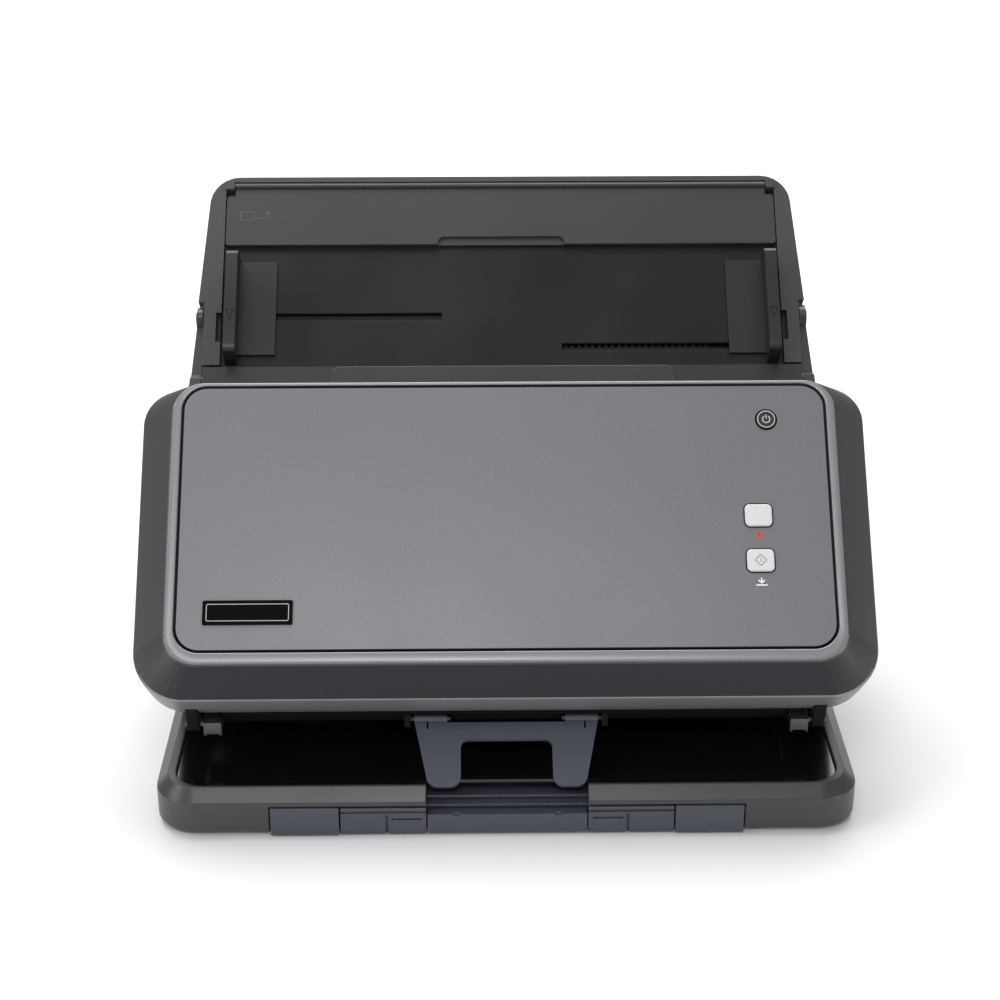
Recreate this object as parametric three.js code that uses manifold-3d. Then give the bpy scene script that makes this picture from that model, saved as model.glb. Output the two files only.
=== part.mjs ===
// A sheet fed document scanner: a flat base with an output bed and a telescoping exit tray, a rear
// housing with the paper path in it, a sloped front cover that swings open on two low hinges, and a
// folding paper chute with two coupled side guides.
//
// Millimetres, +Z up, -Y towards the user. The origin is the centre of the bounding box's base.
// Three frames share one X axis: the row frame (y from the base's front edge, z from a level 2 mm above
// the table), the path frame (local y runs up the paper path, local z points out of the front panel) and
// the chute frame (local y runs up the chute, local z off its face).
import * as THREE from "three";
import { mergeVertices } from "three/addons/utils/BufferGeometryUtils.js";
import Module from "manifold-3d";

const wasm = await Module();
wasm.setup();

// ---------------------------------------------------------------- driving dimensions
const gap = 0.3; // between pieces that touch
const wall = 2.5; // moulded shells
const midY = 111.08; // base front edge to the origin
const tableLevel = -2; // the table top in the row frame

const base = { halfWidth: 152.4, depth: 170, corner: 18, bottom: -0.5, edge: 14.8, top: 20, chamfer: 5.2 };
const bed = { halfWidth: 143.6, front: 6.8, back: 100.7, bottom: 16.5, top: 18.3, corner: 12.5 };
const notch = { halfWidth: 34.9, back: 11.5, bottom: 8.7 };
const tray1 = { halfWidth: 102, length: 95, top: 12.3, plate: 1.5, low: -1.1 };
const tray2 = { halfWidth: 72, length: 88, top: 10.4, plate: 1.5, low: -1.1 };
const tray3 = { halfWidth: 34.4, length: 80, top: 8.5, plate: 1.5, low: -0.8 };

const pathLean = THREE.MathUtils.degToRad(47); // above the horizontal
const pathOrigin = [12.8, 76.1]; // lower edge of the front panel's frame, from the base's front
const chuteLean = THREE.MathUtils.degToRad(45);
const chuteOrigin = [129.1, 142.1]; // where the chute's plane leaves the paper path

const cover = {
  halfWidth: 160.3,
  crestHalf: 145.5, // half the width of the edge round the front panel
  length: 127.6,
  crown: 129.6, // its top
  bevel: 14,
  lower: 13,
  depth: 38,
};
const coverCorner = { low: 22, high: 16, crest: 14 }; // radii: outer lower, outer upper, front edge
const seat = { halfWidth: 141.4, low: 5, high: 125.4, corner: 11, floor: -2.8 }; // the panel's recess
const panelInset = 1.2; // the dark groove round the panel
const hingePivot = [33, 35]; // cover hinge, y and z from the base's front
const flapPivot = [36.2, 34.6];
const pathFloor = -41.6; // top of the fixed paper guide, in the path frame
const housing = { halfWidth: 150, back: 168, top: 148.6, shoulder: 9 };

const rollerRadius = 9;
const driveLevel = -49.15; // roller axes, in the path frame
const feedAt = 100;
const transportAt = 66;
const exitAt = 16;
const idlerRadius = 6;
const idlerLevel = -33.85;
const gearModule = 0.8;
const gearFace = [-137, -132];

const chute = {
  low: 24.3,
  top: 122.4,
  thick: 11,
  floor: -3,
  recessHalf: 131.2,
  recessTop: 119.7,
  hollowHalf: 129.3, // the room under the floor, for the racks
};
const chuteCorner = 13;
const chutePivot = [50.5, -5.5]; // along the chute, off its face
const arm = { inner: 139.8, clearance: 0.4, shoulder: 56.3 }; // it flanks the tray below the shoulder
const extension = { axis: 117.4, low: 86.3, halfWidth: 130.7, neck: 126.8, waist: 112.4 };
const guideInner = 123.4;
const guideThick = 5.5;
const rackPitch = 6; // pinion pitch radius
const pinionAt = 42;

// ---------------------------------------------------------------- materials
const finish = (color, roughness, metalness = 0) =>
  new THREE.MeshStandardMaterial({ color, roughness, metalness });
const shellGrey = finish(0x4a4c50, 0.5);
const panelGrey = finish(0x77787d, 0.45, 0.2);
const bedBlack = finish(0x0e0e10, 0.25);
const partBlack = finish(0x1b1c1f, 0.55);
const smokeGrey = finish(0x585c66, 0.35);
const keyWhite = finish(0xe4e2e6, 0.4);
const rubber = finish(0x202022, 0.9);
const steel = finish(0x9a9ca0, 0.35, 0.9);
const nylon = finish(0xd9d6c8, 0.5);
const glass = finish(0x9fb4ba, 0.1);
const board = finish(0x1f5a34, 0.6);

// ---------------------------------------------------------------- solids
function toSolid(geometry) {
  const soup = geometry.index ? geometry.toNonIndexed() : geometry.clone();
  soup.deleteAttribute("normal");
  soup.deleteAttribute("uv");
  const merged = mergeVertices(soup, 1e-4);
  const index = merged.index.array;
  const kept = [];
  for (let i = 0; i < index.length; i += 3) {
    const [a, b, c] = index.slice(i, i + 3);
    if (a !== b && b !== c && c !== a) kept.push(a, b, c);
  }
  return new wasm.Manifold(
    new wasm.Mesh({
      numProp: 3,
      vertProperties: merged.attributes.position.array,
      triVerts: new Uint32Array(kept),
    }),
  );
}

function toGeometry(solid) {
  const mesh = solid.getMesh();
  const geometry = new THREE.BufferGeometry();
  geometry.setAttribute("position", new THREE.BufferAttribute(mesh.vertProperties, 3));
  geometry.setIndex(new THREE.BufferAttribute(mesh.triVerts, 1));
  const flat = geometry.toNonIndexed();
  flat.computeVertexNormals();
  return flat;
}

const join = (first, ...rest) => rest.reduce((sum, next) => sum.add(next), first);
const cut = (first, ...tools) => tools.reduce((left, tool) => left.subtract(tool), first);

function shapeOf(points) {
  return new THREE.Shape(points.map(([u, v]) => new THREE.Vector2(u, v)));
}

// An outline in x and y, standing from z0 to z1.
function upright(shape, z0, z1, segments = 6) {
  const geometry = new THREE.ExtrudeGeometry(shape, {
    depth: z1 - z0,
    bevelEnabled: false,
    curveSegments: segments,
  });
  return toSolid(geometry.translate(0, 0, z0));
}

// An outline in y and z, lying from x0 to x1.
function across(points, x0, x1) {
  const geometry = new THREE.ExtrudeGeometry(shapeOf(points), { depth: x1 - x0, bevelEnabled: false });
  const turn = new THREE.Matrix4().makeBasis(
    new THREE.Vector3(0, 1, 0),
    new THREE.Vector3(0, 0, 1),
    new THREE.Vector3(1, 0, 0),
  );
  return toSolid(geometry.applyMatrix4(turn).translate(x0, 0, 0));
}

// An outline in x and z, lying from y0 to y1.
function lengthwise(points, y0, y1) {
  const geometry = new THREE.ExtrudeGeometry(shapeOf(points), { depth: y1 - y0, bevelEnabled: false });
  return toSolid(geometry.rotateX(Math.PI / 2).translate(0, y1, 0));
}

function block(x0, x1, y0, y1, z0, z1) {
  const geometry = new THREE.BoxGeometry(x1 - x0, y1 - y0, z1 - z0);
  return toSolid(geometry.translate((x0 + x1) / 2, (y0 + y1) / 2, (z0 + z1) / 2));
}

function roundedRect(x0, x1, y0, y1, r) {
  const shape = new THREE.Shape();
  shape.moveTo(x0 + r, y0);
  shape.lineTo(x1 - r, y0);
  shape.absarc(x1 - r, y0 + r, r, -Math.PI / 2, 0);
  shape.lineTo(x1, y1 - r);
  shape.absarc(x1 - r, y1 - r, r, 0, Math.PI / 2);
  shape.lineTo(x0 + r, y1);
  shape.absarc(x0 + r, y1 - r, r, Math.PI / 2, Math.PI);
  shape.lineTo(x0, y0 + r);
  shape.absarc(x0 + r, y0 + r, r, Math.PI, 1.5 * Math.PI);
  return shape;
}

const roundedBlock = (x0, x1, y0, y1, z0, z1, r, segments = 5) =>
  upright(roundedRect(x0, x1, y0, y1, r), z0, z1, segments);

// The x span from a to b on one side of the middle; side is -1 or 1.
const sided = (side, a, b) => (side < 0 ? [-b, -a] : [a, b]);

// A shaft along x, centred on (y, z).
function rod(radius, x0, x1, y, z, sides = 16) {
  const geometry = new THREE.CylinderGeometry(radius, radius, x1 - x0, sides);
  return toSolid(geometry.rotateZ(Math.PI / 2).translate((x0 + x1) / 2, y, z));
}

// A disc or post along z.
function post(radius, x, y, z0, z1, sides = 20) {
  const geometry = new THREE.CylinderGeometry(radius, radius, z1 - z0, sides);
  return toSolid(geometry.rotateX(Math.PI / 2).translate(x, y, (z0 + z1) / 2));
}

// A skin through rounded rectangles, each {x, y0, y1, r, high, z}: r rounds the corners at y0, and high,
// where it is given, those at y1.
function loft(rings, arcSteps = 6) {
  const loops = rings.map(({ x, y0, y1, r: low, high = low, z }) => {
    const points = [];
    const corners = [
      [x - low, y0 + low, -90, low],
      [x - high, y1 - high, 0, high],
      [-x + high, y1 - high, 90, high],
      [-x + low, y0 + low, 180, low],
    ];
    for (const [cx, cy, from, r] of corners)
      for (let i = 0; i <= arcSteps; i++) {
        const a = THREE.MathUtils.degToRad(from + (90 * i) / arcSteps);
        points.push([cx + r * Math.cos(a), cy + r * Math.sin(a), z]);
      }
    return points;
  });
  const n = loops[0].length;
  const index = [];
  for (let k = 0; k + 1 < loops.length; k++)
    for (let i = 0; i < n; i++) {
      const j = (i + 1) % n;
      index.push(k * n + i, k * n + j, (k + 1) * n + j);
      index.push(k * n + i, (k + 1) * n + j, (k + 1) * n + i);
    }
  for (let i = 1; i + 1 < n; i++) {
    index.push(0, i + 1, i);
    const last = (loops.length - 1) * n;
    index.push(last, last + i, last + i + 1);
  }
  const geometry = new THREE.BufferGeometry();
  geometry.setAttribute("position", new THREE.Float32BufferAttribute(loops.flat(2), 3));
  geometry.setIndex(index);
  return toSolid(geometry);
}

// ---------------------------------------------------------------- gears
const involute = (angle) => Math.tan(angle) - angle;
const pressure = THREE.MathUtils.degToRad(20);

// Outline of a spur gear with backlash, one tooth centred on angle phase.
function gearOutline(teeth, module, phase) {
  const pitch = (module * teeth) / 2;
  const tip = pitch + 0.85 * module;
  const root = pitch - 1.2 * module;
  const baseRadius = pitch * Math.cos(pressure);
  const halfAtPitch = (0.43 * Math.PI) / teeth;
  const halfAt = (r) => {
    const a = Math.acos(Math.min(1, baseRadius / r));
    return halfAtPitch + involute(pressure) - involute(a);
  };
  const points = [];
  for (let i = 0; i < teeth; i++) {
    const middle = phase + (2 * Math.PI * i) / teeth;
    const low = halfAt(Math.max(root, baseRadius)) * 1.02;
    for (const [r, a] of [[root, -low], [pitch, -halfAt(pitch)], [tip, -halfAt(tip)]])
      points.push([r * Math.cos(middle + a), r * Math.sin(middle + a)]);
    for (const [r, a] of [[tip, halfAt(tip)], [pitch, halfAt(pitch)], [root, low]])
      points.push([r * Math.cos(middle + a), r * Math.sin(middle + a)]);
  }
  return points;
}

// The gears' places in the path frame. Each meshes with the one before it in the list it names.
const offsetFor = (teethA, teethB, span) =>
  Math.sqrt(((gearModule * (teethA + teethB)) / 2) ** 2 - (span / 2) ** 2);
const smallDrop = offsetFor(20, 24, feedAt - transportAt);
const largeDrop = offsetFor(20, 48, transportAt - exitAt);
const gears = {
  transport_gear: { teeth: 20, at: [transportAt, driveLevel] },
  idler_gear_small: {
    teeth: 24,
    at: [(feedAt + transportAt) / 2, driveLevel - smallDrop],
    drivenBy: "transport_gear",
  },
  feed_gear: { teeth: 20, at: [feedAt, driveLevel], drivenBy: "idler_gear_small" },
  idler_gear_large: {
    teeth: 48,
    at: [(transportAt + exitAt) / 2, driveLevel - largeDrop],
    drivenBy: "transport_gear",
  },
  exit_gear: { teeth: 20, at: [exitAt, driveLevel], drivenBy: "idler_gear_large" },
};
const pinionTeeth = 12;
const pinionReach = (gearModule * (pinionTeeth + 48)) / 2;
gears.motor_pinion = {
  teeth: pinionTeeth,
  at: [gears.idler_gear_large.at[0] + 0.6 * pinionReach, gears.idler_gear_large.at[1] - 0.8 * pinionReach],
  drivenBy: "idler_gear_large",
};

// Turns each gear so that its teeth stand in its driver's gaps.
for (const gear of Object.values(gears)) {
  gear.phase = 0;
  if (!gear.drivenBy) continue;
  const driver = gears[gear.drivenBy];
  const line = Math.atan2(gear.at[1] - driver.at[1], gear.at[0] - driver.at[0]);
  const share = ((line - driver.phase) * driver.teeth) / (2 * Math.PI);
  gear.phase = line + Math.PI - ((0.5 - share) * 2 * Math.PI) / gear.teeth;
}

function gearSolid(name, boreOrAxle) {
  const { teeth, at, phase } = gears[name];
  const [y, z] = at;
  const outline = gearOutline(teeth, gearModule, phase).map(([u, v]) => [y + u, z + v]);
  const disc = across(outline, ...gearFace);
  return boreOrAxle(disc, y, z);
}
const bored = (disc, y, z) => cut(disc, rod(3 + gap, gearFace[0] - 1, gearFace[1] + 1, y, z));
const onAxle = (x1) => (disc, y, z) => join(disc, rod(2, gearFace[0], x1, y, z, 12));

// ---------------------------------------------------------------- base
function baseShell() {
  const { halfWidth, depth, corner, bottom, edge, top, chamfer } = base;
  const ring = (inset, z) => ({
    x: halfWidth - inset,
    y0: inset,
    y1: depth - inset,
    r: corner - inset,
    z,
  });
  const outer = loft([ring(1.5, bottom), ring(0, bottom + 2), ring(0, edge), ring(chamfer, top)], 9);
  const inner = halfWidth - wall - gap;
  return cut(
    outer,
    roundedBlock(-inner, inner, wall + gap, depth - wall, bottom - 1, 14, corner - wall),
    roundedBlock(
      -bed.halfWidth - gap, bed.halfWidth + gap, bed.front - gap, bed.back + gap,
      bed.bottom - gap, 21, bed.corner + gap,
    ),
    roundedBlock(-139, 139, 10, 98, 13, 17, 9),
    block(-tray1.halfWidth - 0.5, tray1.halfWidth + 0.5, -1, 4, bottom - 1, tray1.top + 0.4),
    block(-notch.halfWidth, notch.halfWidth, -1, notch.back, notch.bottom, 21),
    roundedBlock(-120, 120, 110, 160, 13, 21, 5),
  );
}

function bottomPlate() {
  const half = base.halfWidth - wall - 2 * gap;
  return roundedBlock(-half, half, 4, base.depth - wall - gap, base.bottom, base.bottom + 1, 15);
}

function outputBed() {
  const plate = roundedBlock(
    -bed.halfWidth, bed.halfWidth, bed.front, bed.back, bed.bottom, bed.top, bed.corner, 6,
  );
  return cut(plate, block(-notch.halfWidth, notch.halfWidth, 0, notch.back + gap, 0, 21));
}

// An inverted channel that rides in the one outside it, with a block at each end of its front.
// Its cheeks end at frontY and cheekTop, and its roof begins at roofFrom.
function trayStage({ halfWidth, length, top, plate, low }, nextHalf, cheekTop, frontY, roofFrom) {
  const inside = nextHalf + 0.5;
  const floor = base.bottom + 1 + gap;
  const front = 2.5;
  const channel = cut(
    block(-halfWidth, halfWidth, front, length, floor, top),
    block(-inside, inside, front - 1, length + 1, floor - 1, top - plate),
    block(-inside, inside, front - 1, roofFrom, floor - 1, top + 1),
  );
  const cheek = (side) => block(...sided(side, inside, halfWidth), frontY, front + 1, low, cheekTop);
  return join(channel, cheek(-1), cheek(1));
}

// The middle stage's cheeks carry a long groove, a short groove and a step line.
function trayTwo() {
  const stage = trayStage(tray2, tray3.halfWidth, 11.8, 0, 5);
  const marks = [-1, 1].flatMap((side) => {
    const line = (a, b, z0, z1) => block(...sided(side, a, b), -1, 1, z0, z1);
    return [line(34, 73, 9.2, 10.2), line(51.5, 52.4, -2, 8), line(37, 50, 5.7, 6.5)];
  });
  return cut(stage, ...marks);
}

function trayThree() {
  const { halfWidth, length, top, plate, low } = tray3;
  const floor = base.bottom + 1 + gap;
  const roof = top - 0.2;
  const nick = (side) => block(...sided(side, 20.5, 23.5), -1, 1.6, top - 0.8, top + 1);
  const rail = (side) => block(...sided(side, halfWidth - 2, halfWidth), 2, length, floor, roof);
  return join(
    cut(block(-halfWidth, halfWidth, 0, 3, low, top), nick(-1), nick(1)),
    block(-halfWidth, halfWidth, 1, length, roof - plate, roof),
    rail(-1),
    rail(1),
  );
}

// ---------------------------------------------------------------- rear housing and fixed path
function powerSocket() {
  const body = block(60, 74, 159.9, housing.back, 40, 51);
  const bore = new THREE.CylinderGeometry(3.2, 3.2, 8, 20).translate(67, housing.back - 2.5, 45.5);
  return cut(body, toSolid(bore));
}

function usbSocket() {
  const body = block(85, 97, 159.9, housing.back, 41, 51);
  return cut(body, block(86.6, 95.4, housing.back - 6.5, housing.back + 1, 42.2, 49.8));
}

const inPath = (t, n) => [
  pathOrigin[0] + t * Math.cos(pathLean) - n * Math.sin(pathLean),
  pathOrigin[1] + t * Math.sin(pathLean) + n * Math.cos(pathLean),
];
const inChute = (c, m) => [
  chuteOrigin[0] + c * Math.cos(chuteLean) - m * Math.sin(chuteLean),
  chuteOrigin[1] + c * Math.sin(chuteLean) + m * Math.cos(chuteLean),
];

function rearHousing() {
  const { halfWidth, back, top, shoulder } = housing;
  const foot = base.top + gap;
  const outline = [
    [44, 31], [66, foot], [back, foot], [back, 138], [156, top], [139.5, top],
    inChute(0.6, -2.4), inPath(127.2, -39.6), inPath(-12, -39.6), [36, 35.5],
  ];
  const inside = [
    [68, 10], [back - wall, 10], [back - wall, 137], [155, top - wall], [140.6, top - wall],
    [133.5, 138], [112, 138], [25, 44], [25, 34], [44, 27],
  ];
  // The upper side edges slope off, and the cavity keeps a wall's thickness clear of them.
  const slope = (side, grow) => {
    const reach = shoulder + grow;
    const corner = [
      [side * (halfWidth - reach), top + 0.1],
      [side * (halfWidth + 0.1), top - reach],
      [side * (halfWidth + 0.1), top + 0.1],
    ];
    return lengthwise(corner, 60, back + 1);
  };
  const shell = cut(
    across(outline, -halfWidth, halfWidth),
    cut(across(inside, -halfWidth + wall, halfWidth - wall), slope(-1, 1.4 * wall), slope(1, 1.4 * wall)),
    block(59.5, 74.5, back - 4, back + 1, 39.5, 51.5),
    block(84.5, 97.5, back - 4, back + 1, 40.5, 51.5),
  );
  // A grille of cooling slots in the back wall.
  const slots = [];
  for (let i = 0; i < 8; i++) slots.push(block(-100 + i * 7, -97 + i * 7, back - 4, back + 1, 60, 84));
  const guideSeat = across(
    [inPath(116, -38), inPath(130, -38), inPath(130, pathFloor), inPath(116, pathFloor)],
    -124.3, 124.3,
  );
  // Its lower front corners follow the cover's.
  const cornerRound = roundedBlock(-halfWidth, halfWidth, -12.2, 260, -200, 60, coverCorner.low, 6)
    .rotate([THREE.MathUtils.radToDeg(pathLean), 0, 0])
    .translate([0, ...pathOrigin]);
  return cut(shell, guideSeat, slope(-1, 0), slope(1, 0), ...slots).intersect(cornerRound);
}

function feedThroat() {
  const plate = across([[0.2, 0], [23.2, 0], [23.2, -2], [0.6, -2]], -139, 139);
  const feet = [-120, -60, 0, 60, 120].map((x) =>
    across([[10.5, -1.9], [22.5, -1.9], [21.5, -11.7], [12.9, -3.1]], x - 1, x + 1),
  );
  return join(plate, ...feet);
}

const sideWindows = (t0, t1, n0, n1) => [
  block(-60, -33, t0, t1, n0, n1),
  block(33, 60, t0, t1, n0, n1),
];

function paperGuide() {
  const top = pathFloor;
  return cut(
    block(-124, 124, 2, 122.2, top - 2.3, top),
    block(-21, 21, feedAt - 10.2, feedAt + 10.2, top - 3, top + 1),
    ...sideWindows(transportAt - 10.2, transportAt + 10.2, top - 3, top + 1),
    ...sideWindows(exitAt - 10.2, exitAt + 10.2, top - 3, top + 1),
    block(-114, 114, 33, 50.5, top - 3, top + 1),
  );
}

function exitBeam() {
  const [py, pz] = flapPivot;
  const section = [
    inPath(-12.6, pathFloor), inPath(1.6, pathFloor),
    [52, 41], [60, 31], [57, 25.5], [46, 30], [37.5, 33.2],
  ];
  const beam = across(section, -124, 124);
  const ear = (x) =>
    across([[py - 3, pz - 2.6], [py + 3, pz - 2.6], [py + 6, pz + 3], [py - 1.6, pz + 3]], x - 1.3, x + 1.3);
  const body = join(beam, ear(-43.4), ear(43.4));
  const bay = (side) => rod(2.9, ...sided(side, 24, 42), py, pz, 16);
  return cut(body, bay(-1), bay(1), rod(1.3, -46, 46, py, pz, 12));
}

function sideFrame(side) {
  const [x0] = sided(side, 126, 127.5);
  const plate = across(
    [[4, -45], [123, -45], [123, -62], [70, -96], [36, -96], [4, -66]], x0, x0 + 1.5,
  );
  const holes = [feedAt, transportAt, exitAt].map((t) => rod(3.4, x0 - 1, x0 + 3, t, driveLevel));
  if (side < 0)
    for (const name of ["idler_gear_small", "idler_gear_large", "motor_pinion"])
      holes.push(rod(2 + gap, x0 - 1, x0 + 3, ...gears[name].at, 12));
  return cut(plate, ...holes);
}

const sensorLow = 33.4;
const scanModule = (n0, n1, t0) => block(-113.4, 113.4, t0, t0 + 16.8, n0, n1);
const scanGlass = (n0, t0) => block(-113, 113, t0 + 0.6, t0 + 16.2, n0, n0 + 1.6);

function driveMotor() {
  const [t, n] = gears.motor_pinion.at;
  const can = rod(16.5, -123.5, -90, t, n, 28);
  const flange = block(-125.5, -123.4, t - 17, t + 17, n - 17, n + 17);
  return cut(join(can, flange), rod(2.6, -127, -114, t, n, 12));
}

// ---------------------------------------------------------------- rollers
// A shaft with tyres at the given spans, turning about x.
function roller(radius, shaftRadius, x0, x1, spans, t, n) {
  const tyres = spans.map(([a, b]) => rod(radius, a, b, t, n, 24));
  return join(rod(shaftRadius, x0, x1, t, n, 12), ...tyres);
}
const pair = [[-56, -37], [37, 56]];

// ---------------------------------------------------------------- cover
const pivotInPath = (() => {
  const dy = hingePivot[0] - pathOrigin[0];
  const dz = hingePivot[1] - pathOrigin[1];
  return [
    dy * Math.cos(pathLean) + dz * Math.sin(pathLean),
    -dy * Math.sin(pathLean) + dz * Math.cos(pathLean),
  ];
})();

const keys = {
  power: { x: 114.8, t: 108.4, radius: 4.4 },
  cancel: { x: 109.3, t: 64.3, width: 11.8, height: 10 },
  scan: { x: 109.3, t: 44, width: 11.8, height: 10 },
};
function keySolid({ x, t, radius, width, height }, grow, n0, n1) {
  if (radius) return post(radius + grow, x, t, n0, n1, 24);
  const w = width / 2 + grow;
  const h = height / 2 + grow;
  return roundedBlock(x - w, x + w, t - h, t + h, n0, n1, 2.2 + grow, 6);
}
const keyHoles = (grow, n0, n1) => Object.values(keys).map((key) => keySolid(key, grow, n0, n1));

// An ear on the cover's lower wall that reaches back to the hinge pin.
function coverLug(side) {
  const [pt, pn] = pivotInPath;
  const outline = [
    [-10.6, -28], [-12.4, -28], [pt - 3.6, pn + 1.4],
    [pt - 2.4, pn - 3.2], [pt + 2.8, pn - 2.6], [-10.6, -37],
  ];
  return across(outline, ...sided(side, 134, 139.5));
}

function coverShell() {
  const { halfWidth, crestHalf, length, crown, bevel, lower, depth } = cover;
  const { low, high, crest } = coverCorner;
  const draft = 0.4; // the mouth is narrower by this on each side
  const ring = (inset, narrow, z) => ({
    x: halfWidth - inset - narrow,
    y0: -lower + inset,
    y1: crown - inset,
    r: low - inset,
    high: high - inset,
    z,
  });
  const outer = loft(
    [ring(0, draft, -depth), ring(0, 0, -bevel), { x: crestHalf, y0: 0, y1: length, r: crest, z: 0 }],
    9,
  );
  const inner = loft([
    ring(wall, draft, -depth - 1),
    ring(wall, 0, -bevel - 1.2),
    { x: crestHalf - 6, y0: 7, y1: 121, r: 10, z: -5.4 },
  ]);
  const shell = join(cut(outer, inner), coverLug(-1), coverLug(1));
  const recess = roundedBlock(
    -seat.halfWidth, seat.halfWidth, seat.low, seat.high, seat.floor, 1, seat.corner, 10,
  );
  return cut(shell, recess, ...keyHoles(0.6, -7, 0), rod(2.1, -141, 141, ...pivotInPath, 12));
}

function frontPanel() {
  const half = seat.halfWidth - panelInset;
  const plate = roundedBlock(
    -half, half, seat.low + panelInset, seat.high - panelInset, -2.5, -0.2, seat.corner - panelInset, 10,
  );
  return cut(plate, ...keyHoles(0.55, -4, 1));
}

function coverLiner() {
  const plate = loft([
    { x: 156.4, y0: -9.4, y1: 126.4, r: 19, high: 13, z: -38 },
    { x: 156.4, y0: -9.4, y1: 126.4, r: 19, high: 13, z: -36.2 },
  ], 4);
  return cut(
    plate,
    block(-26, 26, feedAt - 9, feedAt + 9, -39, -35),
    ...sideWindows(transportAt - 8, transportAt + 8, -39, -35),
    ...sideWindows(exitAt - 8, exitAt + 8, -39, -35),
    block(-113.3, 113.3, 36.3, 52.7, -39, -35),
  );
}

function coverLip() {
  const tab = new THREE.Shape();
  tab.moveTo(-81, 130);
  tab.lineTo(81, 130);
  tab.lineTo(79.5, 142);
  tab.quadraticCurveTo(78.6, 147, 73.5, 147);
  tab.lineTo(-73.5, 147);
  tab.quadraticCurveTo(-78.6, 147, -79.5, 142);
  return join(upright(tab, -33, -31, 5), block(-78, 78, 130, 131.6, -31.2, -24));
}

// ---------------------------------------------------------------- chute
const chuteHalf = (c) => 144.9 - (c - 17) * 0.068; // its sides draw in towards the top

function chuteOutline() {
  const { low, top } = chute;
  const r = chuteCorner;
  const half = arm.inner - arm.clearance;
  const shape = new THREE.Shape();
  shape.moveTo(-half, low);
  shape.lineTo(half, low);
  shape.lineTo(half, arm.shoulder);
  shape.lineTo(chuteHalf(arm.shoulder), arm.shoulder);
  shape.lineTo(chuteHalf(top - r), top - r);
  shape.bezierCurveTo(
    chuteHalf(top) + 0.2, top - 0.45 * r, chuteHalf(top) - 0.45 * r, top, chuteHalf(top) - r, top,
  );
  shape.lineTo(-chuteHalf(top) + r, top);
  shape.bezierCurveTo(
    -chuteHalf(top) + 0.45 * r, top, -chuteHalf(top) - 0.2, top - 0.45 * r, -chuteHalf(top - r), top - r,
  );
  shape.lineTo(-chuteHalf(arm.shoulder), arm.shoulder);
  shape.lineTo(-half, arm.shoulder);
  return shape;
}

function chuteTray() {
  const { low, top, thick, floor, recessHalf, recessTop, hollowHalf } = chute;
  const rackSlot = (x0, x1, y0) => block(x0, x1, y0, y0 + 4, -6, 0);
  const hollow = cut(
    upright(chuteOutline(), -thick, 0, 6),
    block(-recessHalf, recessHalf, low - 1, recessTop, floor, 1),
    block(-hollowHalf, hollowHalf, 28, 112, -thick - 1, -4.6),
    rackSlot(-hollowHalf, -28, pinionAt + rackPitch),
    rackSlot(28, hollowHalf, pinionAt - rackPitch - 4),
  );
  const pin = (side) => rod(3, ...sided(side, 138, 143.5), ...chutePivot, 16);
  // Finger scallops beside each guide, and the ears of the extension's hinge.
  const scallop = (side) => block(...sided(side, 130, 133.6), 36, 51, -2.9, 1);
  const { axis } = extension;
  const ear = (side) => block(...sided(side, 127.2, 131.4), axis - 2, recessTop + 0.2, floor - 0.2, 1.4);
  const pinionPost = post(2, 0, pinionAt, -9, -4, 16);
  const whole = join(cut(hollow, scallop(-1), scallop(1)), ear(-1), ear(1), pin(-1), pin(1), pinionPost);
  // The upper back edge is broken by 0.8 mm.
  const backEdge = across(
    [[top - 0.9, -thick - 0.1], [top + 0.1, -thick - 0.1], [top + 0.1, -thick + 0.9]], -150, 150,
  );
  return cut(whole, backEdge, rod(1, -130.4, 130.4, axis, 0, 12));
}

function chuteBack() {
  const half = chute.hollowHalf - 0.4;
  return roundedBlock(-half, half, 28.4, 111.6, -chute.thick, -9.4, 3, 3);
}

// A plate whose neck turns on pins between the tray's ears.
function chuteExtension() {
  const { axis, low, halfWidth, neck, waist } = extension;
  const plate = roundedBlock(-halfWidth, halfWidth, low, waist, -2.7, -0.2, 1.6, 3);
  return join(
    cut(plate, roundedBlock(-30, 30, low - 6, low + 4, -1.4, 0, 3, 3)),
    block(-neck, neck, waist - 1, axis + 1.9, -2, -0.2),
    rod(1.2, -neck, neck, axis, 0, 12),
    rod(0.7, -130, 130, axis, 0, 10),
  );
}

// A side guide: fin, foot under the sheet, stem through the floor, and a rack. side is -1 or 1.
function sideGuide(side) {
  const fin = [
    [25.6, -2.6], [79.8, -2.6], [79.8, 6.8], [78.6, 9], [76.6, 10], [31, 10], [27.6, 8], [25.6, 4],
  ];
  const up = side < 0 ? 1 : -1; // which side of the pinion the rack runs on
  const rackY = pinionAt + up * rackPitch;
  const [near, far] = [rackY + up * 1.5, rackY + up * 3.6].sort((a, b) => a - b);
  return join(
    across(fin, ...sided(side, guideInner, guideInner + guideThick)),
    block(...sided(side, 106, guideInner + 1), 30, 78, -2.6, -1.6),
    block(...sided(side, guideInner + 0.5, guideInner + guideThick - 0.5), near, far, -8, -2),
    rackSolid(side, rackY, up),
  );
}

// A rack under the floor, from the guide towards the middle; a gap is centred on x = 0.
function rackSolid(side, rackY, up) {
  const pitch = Math.PI; // module 1
  const teeth = 33;
  const back = rackY + up * 3.8;
  const root = rackY + up * 1.2;
  const tip = rackY - up * 0.85;
  const outer = side * (guideInner + guideThick - 0.5);
  const points = [[outer, back], [outer, root]];
  for (let i = 0; i < teeth; i++) {
    const x = side * pitch * (teeth - 2.5 - i);
    const wide = side * (0.21 * pitch + 0.4);
    const slim = side * (0.21 * pitch - 0.35);
    points.push([x + wide, root], [x + slim, tip], [x - slim, tip], [x - wide, root]);
  }
  const end = side * -2.6 * pitch;
  points.push([end, root], [end, back]);
  return upright(shapeOf(points), -8.6, -6.2);
}

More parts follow.
